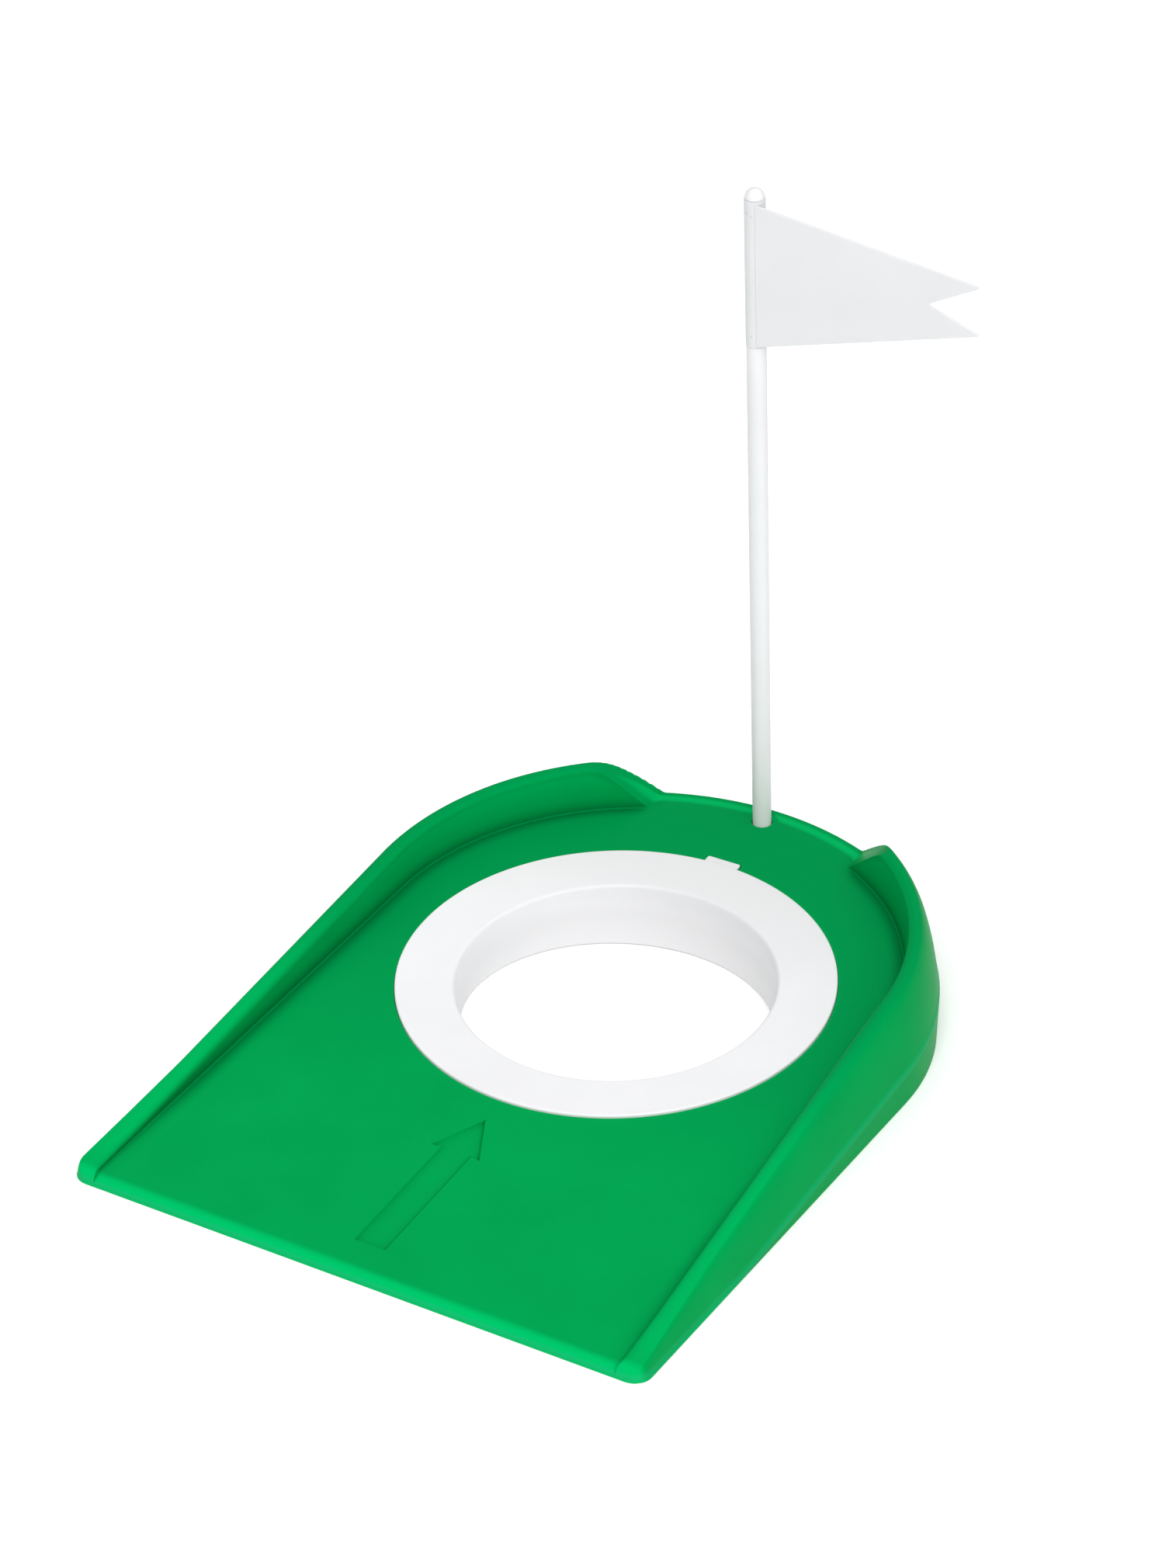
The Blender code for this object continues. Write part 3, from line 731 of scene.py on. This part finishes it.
def cup_painted_shade(tree, coords, blend, surface):
    """Painted shade: the ring gets a little greyer towards its rear and down its tube."""
    number, ramp, separate = node_tools(tree)
    place = separate(coords.outputs["Object"])
    depth = ramp(number("SUBTRACT", deck_node(number, place), place[2]), *CUP_DEPTH)
    rear = ramp(place[1], CUP_Y + CUP_REAR[0], CUP_Y + CUP_REAR[1])
    return blend(number("SUBTRACT", 1.0, number("MAXIMUM", depth, rear)), CUP_SHADE, surface)


def rail_painted_highlight_and_shade(tree, coords, blend, surface):
    """Paler crests, front nose and crease as painted highlight, and an upper side that deepens towards the
    rear as painted shade.
    """
    number, ramp, separate = node_tools(tree)
    place = separate(coords.outputs["Object"])
    facing = separate(coords.outputs["Normal"])
    deck = deck_node(number, place)
    above = number("SUBTRACT", place[2], deck)
    # Painted highlight on raised, upward-facing surfaces.
    crest_highlight_mask = number("MULTIPLY", ramp(above, *CREST_ABOVE_DECK), ramp(facing[2], *CREST_FACING))
    surface = blend(number("SUBTRACT", 1.0, crest_highlight_mask), CREST_HIGHLIGHT, surface)
    # Painted shade on upward faces towards the rear.
    rear = number("MULTIPLY", ramp(place[1], *REAR_Y_RANGE), ramp(facing[2], *REAR_FACING))
    rear = number("MULTIPLY", rear, REAR_SHADE_STRENGTH)
    surface = blend(number("SUBTRACT", 1.0, rear), REAR_SHADE, surface)
    # Painted highlight on the front nose.
    lip_highlight_mask = number("SUBTRACT", 1.0, ramp(place[1], FRONT_Y + LIP_RANGE[1], FRONT_Y + LIP_RANGE[0]))
    surface = blend(number("SUBTRACT", 1.0, lip_highlight_mask), LIP_HIGHLIGHT, surface)
    # Painted highlight in a stripe along the crease of the outer wall.
    crease = number("MAXIMUM", number("SUBTRACT", deck, CREASE_DROP), CREASE_LOWEST)
    from_crease = number("ABSOLUTE", number("SUBTRACT", place[2], crease))
    upright = ramp(number("ABSOLUTE", facing[2]), *CREASE_FACING)
    crease_highlight_mask = number("MULTIPLY", ramp(from_crease, *CREASE_RANGE), upright)
    crease_highlight_mask = number("MULTIPLY", crease_highlight_mask, CREASE_HIGHLIGHT_STRENGTH)
    return blend(number("SUBTRACT", 1.0, crease_highlight_mask), CREASE_HIGHLIGHT, surface)


def moulded_plastic(name, dark, light, crease, reach, roughness, spread, grain,
                    edge=None, painted_tints=None, sheen=WHITE, subsurface=0.0):
    """Satin moulded plastic: cloudy colour from dark to light, the crease colour as painted shade within
    reach of an inner corner and the edge colour as painted highlight along raised edges, fine grain and
    slow ripples."""
    material = bpy.data.materials.new(name)
    material.use_nodes = True
    nodes = material.node_tree.nodes
    links = material.node_tree.links
    shader = nodes["Principled BSDF"]
    coords = nodes.new("ShaderNodeTexCoord")

    def noise(scale, detail):
        node = nodes.new("ShaderNodeTexNoise")
        node.inputs["Scale"].default_value = scale
        node.inputs["Detail"].default_value = detail
        links.new(coords.outputs["Object"], node.inputs["Vector"])
        return node.outputs["Fac"]

    clouds = noise(CLOUD_SCALE, 3.0)
    colours = nodes.new("ShaderNodeValToRGB")
    colours.color_ramp.elements[0].position = 0.30
    colours.color_ramp.elements[0].color = dark
    colours.color_ramp.elements[1].position = 0.70
    colours.color_ramp.elements[1].color = light
    links.new(clouds, colours.inputs["Fac"])

    def painted_shade_and_highlight_mask(inside, distance, low, high):
        """Mask for painted shade and painted highlight: 1 on open surface, down to 0 in creases, or along
        raised edges when inside.
        """
        probe = nodes.new("ShaderNodeAmbientOcclusion")
        probe.samples = 8
        probe.only_local = True
        probe.inside = inside
        probe.inputs["Distance"].default_value = distance
        scaled = nodes.new("ShaderNodeMapRange")
        scaled.inputs["From Min"].default_value = low
        scaled.inputs["From Max"].default_value = high
        links.new(probe.outputs["AO"], scaled.inputs["Value"])
        return scaled.outputs["Result"]

    def blend(factor, special, usual):
        mix = nodes.new("ShaderNodeMix")
        mix.data_type = "RGBA"
        mix.inputs[6].default_value = special
        links.new(factor, mix.inputs[0])
        links.new(usual, mix.inputs[7])
        return mix.outputs[2]

    surface = colours.outputs["Color"]
    # Painted highlight and shade from the given tint function.
    if painted_tints:
        surface = painted_tints(material.node_tree, coords, blend, surface)
    # Painted shade: the crease colour in creases and inner corners.
    surface = blend(painted_shade_and_highlight_mask(False, reach, 0.30, 0.98), crease, surface)
    if edge:
        # Painted highlight: the edge colour along raised edges.
        surface = blend(painted_shade_and_highlight_mask(True, EDGE_HIGHLIGHT_REACH, 0.35, 0.8), edge, surface)
    links.new(surface, shader.inputs["Base Color"])

    fine = noise(GRAIN_SCALE, 2.0)
    gloss = nodes.new("ShaderNodeMapRange")
    gloss.inputs["From Min"].default_value = 0.3
    gloss.inputs["From Max"].default_value = 0.7
    gloss.inputs["To Min"].default_value = roughness - spread
    gloss.inputs["To Max"].default_value = roughness + spread
    links.new(fine, gloss.inputs["Value"])
    links.new(gloss.outputs["Result"], shader.inputs["Roughness"])

    ripple = noise(RIPPLE_SCALE, 2.0)
    slow = nodes.new("ShaderNodeBump")
    slow.inputs["Strength"].default_value = 0.06
    slow.inputs["Distance"].default_value = 0.0004
    links.new(ripple, slow.inputs["Height"])
    bump = nodes.new("ShaderNodeBump")
    bump.inputs["Strength"].default_value = grain
    bump.inputs["Distance"].default_value = 0.00004
    links.new(fine, bump.inputs["Height"])
    links.new(slow.outputs["Normal"], bump.inputs["Normal"])
    links.new(bump.outputs["Normal"], shader.inputs["Normal"])
    shader.inputs["Specular IOR Level"].default_value = 0.4
    shader.inputs["Specular Tint"].default_value = sheen
    if subsurface:
        shader.inputs["Subsurface Weight"].default_value = subsurface
        shader.inputs["Subsurface Radius"].default_value = [SUBSURFACE_REACH] * 3
        shader.inputs["Subsurface Scale"].default_value = 1.0
    return material


def dress(thing, material, body, node):
    """Gives a piece its material and says which CAD node it replaces and what it moves with."""
    thing.data.materials.clear()
    thing.data.materials.append(material)
    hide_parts(node)
    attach(thing, body)


def build_object():
    # Crease colour: painted shade in inner corners; edge colour: painted highlight along raised edges.
    green = moulded_plastic("green_satin", dark=linear(0, 148, 73), light=linear(0, 153, 76),
                            crease=linear(0, 70, 28), reach=0.006, roughness=0.34, spread=0.05,
                            grain=0.25, edge=linear(0, 170, 89), painted_tints=rail_painted_highlight_and_shade,
                            sheen=linear(0, 255, 150))
    green.node_tree.nodes["Principled BSDF"].inputs["IOR"].default_value = 1.07
    # The crease colours of the white plastics are painted shade in inner corners.
    pale = dict(dark=linear(227, 227, 229), light=linear(231, 231, 233), crease=linear(176, 176, 179),
                reach=0.045, roughness=0.42, spread=0.04, grain=0.2, subsurface=0.1)
    white = moulded_plastic("white_satin", **pale)
    # The cup's tint is painted shade on the ring's rear and down its tube.
    cup = moulded_plastic("cup_satin", painted_tints=cup_painted_shade, **pale)
    pennant = moulded_plastic("pennant_satin", dark=linear(218, 218, 221), light=linear(222, 222, 225),
                              crease=linear(206, 206, 209), reach=0.005, roughness=0.46, spread=0.04,
                              grain=0.2, subsurface=0.1)
    dress(make_base(), green, "base", "base")
    dress(make_ring(), cup, "ring", "cup_ring")
    dress(make_pole(), white, "pole", "pole")
    dress(make_flag(), pennant, "pennant", "flag")


# ---- studio ---------------------------------------------------------------------------
CAMERA_AZIMUTH = math.radians(29.07)
CAMERA_ELEVATION = math.radians(29.18)
CAMERA_ROLL = math.radians(1.44)
CAMERA_PLACE = (0.56878, -1.01929, 0.76032)
CAMERA_LENS = 94.92
SENSOR_WIDTH = 36.0
FLOOR_HALF = 4.0
AIM = (0, 0.02, 0.03)      # the lamps point at the middle of the base


def add_camera():
    """Azimuth turns anticlockwise from straight in front, elevation is above the floor."""
    back = Vector((math.sin(CAMERA_AZIMUTH) * math.cos(CAMERA_ELEVATION),
                   -math.cos(CAMERA_AZIMUTH) * math.cos(CAMERA_ELEVATION), math.sin(CAMERA_ELEVATION)))
    level = (-back).cross(Vector((0, 0, 1))).normalized()
    upright = level.cross(-back)
    right = math.cos(CAMERA_ROLL) * level + math.sin(CAMERA_ROLL) * upright
    up = -math.sin(CAMERA_ROLL) * level + math.cos(CAMERA_ROLL) * upright
    data = bpy.data.cameras.new("camera")
    data.lens = CAMERA_LENS
    data.sensor_width = SENSOR_WIDTH
    data.clip_start = 0.05
    data.clip_end = 50.0
    camera = bpy.data.objects.new("camera", data)
    turn = Matrix((right, up, back)).transposed().to_4x4()
    camera.matrix_world = Matrix.Translation(CAMERA_PLACE) @ turn
    bpy.context.scene.collection.objects.link(camera)
    bpy.context.scene.camera = camera


def add_lamp(name, kind, place, power):
    data = bpy.data.lights.new(name, kind)
    data.energy = power
    lamp = bpy.data.objects.new(name, data)
    lamp.location = place
    lamp.rotation_euler = (Vector(AIM) - Vector(place)).to_track_quat("-Z", "Y").to_euler()
    bpy.context.scene.collection.objects.link(lamp)
    return data


def add_floor():
    shape = bmesh.new()
    corners = ((-1, -1), (1, -1), (1, 1), (-1, 1))
    shape.faces.new([shape.verts.new((x * FLOOR_HALF, y * FLOOR_HALF, 0)) for x, y in corners])
    floor = make_object("floor", shape)
    material = bpy.data.materials.new("pale_floor")
    material.use_nodes = True
    shader = material.node_tree.nodes["Principled BSDF"]
    shader.inputs["Base Color"].default_value = (0.94, 0.94, 0.94, 1)
    shader.inputs["Roughness"].default_value = 0.7
    shader.inputs["Specular IOR Level"].default_value = 0.2
    shader.inputs["Emission Color"].default_value = WHITE
    shader.inputs["Emission Strength"].default_value = 0.10
    floor.data.materials.append(material)


def add_studio():
    """A pale floor, white surroundings, three broad suns and one soft lamp in front."""
    add_floor()
    world = bpy.data.worlds.new("studio")
    world.use_nodes = True
    background = world.node_tree.nodes["Background"]
    background.inputs["Color"].default_value = WHITE
    background.inputs["Strength"].default_value = 0.26
    bpy.context.scene.world = world
    add_lamp("key", "SUN", (0.46, -0.80, 1.15), 0.95).angle = math.radians(40)
    add_lamp("top", "SUN", (0.0, 0.1, 1.8), 1.45).angle = math.radians(110)
    add_lamp("side", "SUN", (1.5, -0.2, 0.7), 0.40).angle = math.radians(50)
    front = add_lamp("front", "AREA", (0.42, -1.00, 0.90), 5.0)
    front.shape = "SQUARE"
    front.size = 0.5
    bpy.context.scene.view_settings.view_transform = "Standard"


build_object()
add_camera()
add_studio()
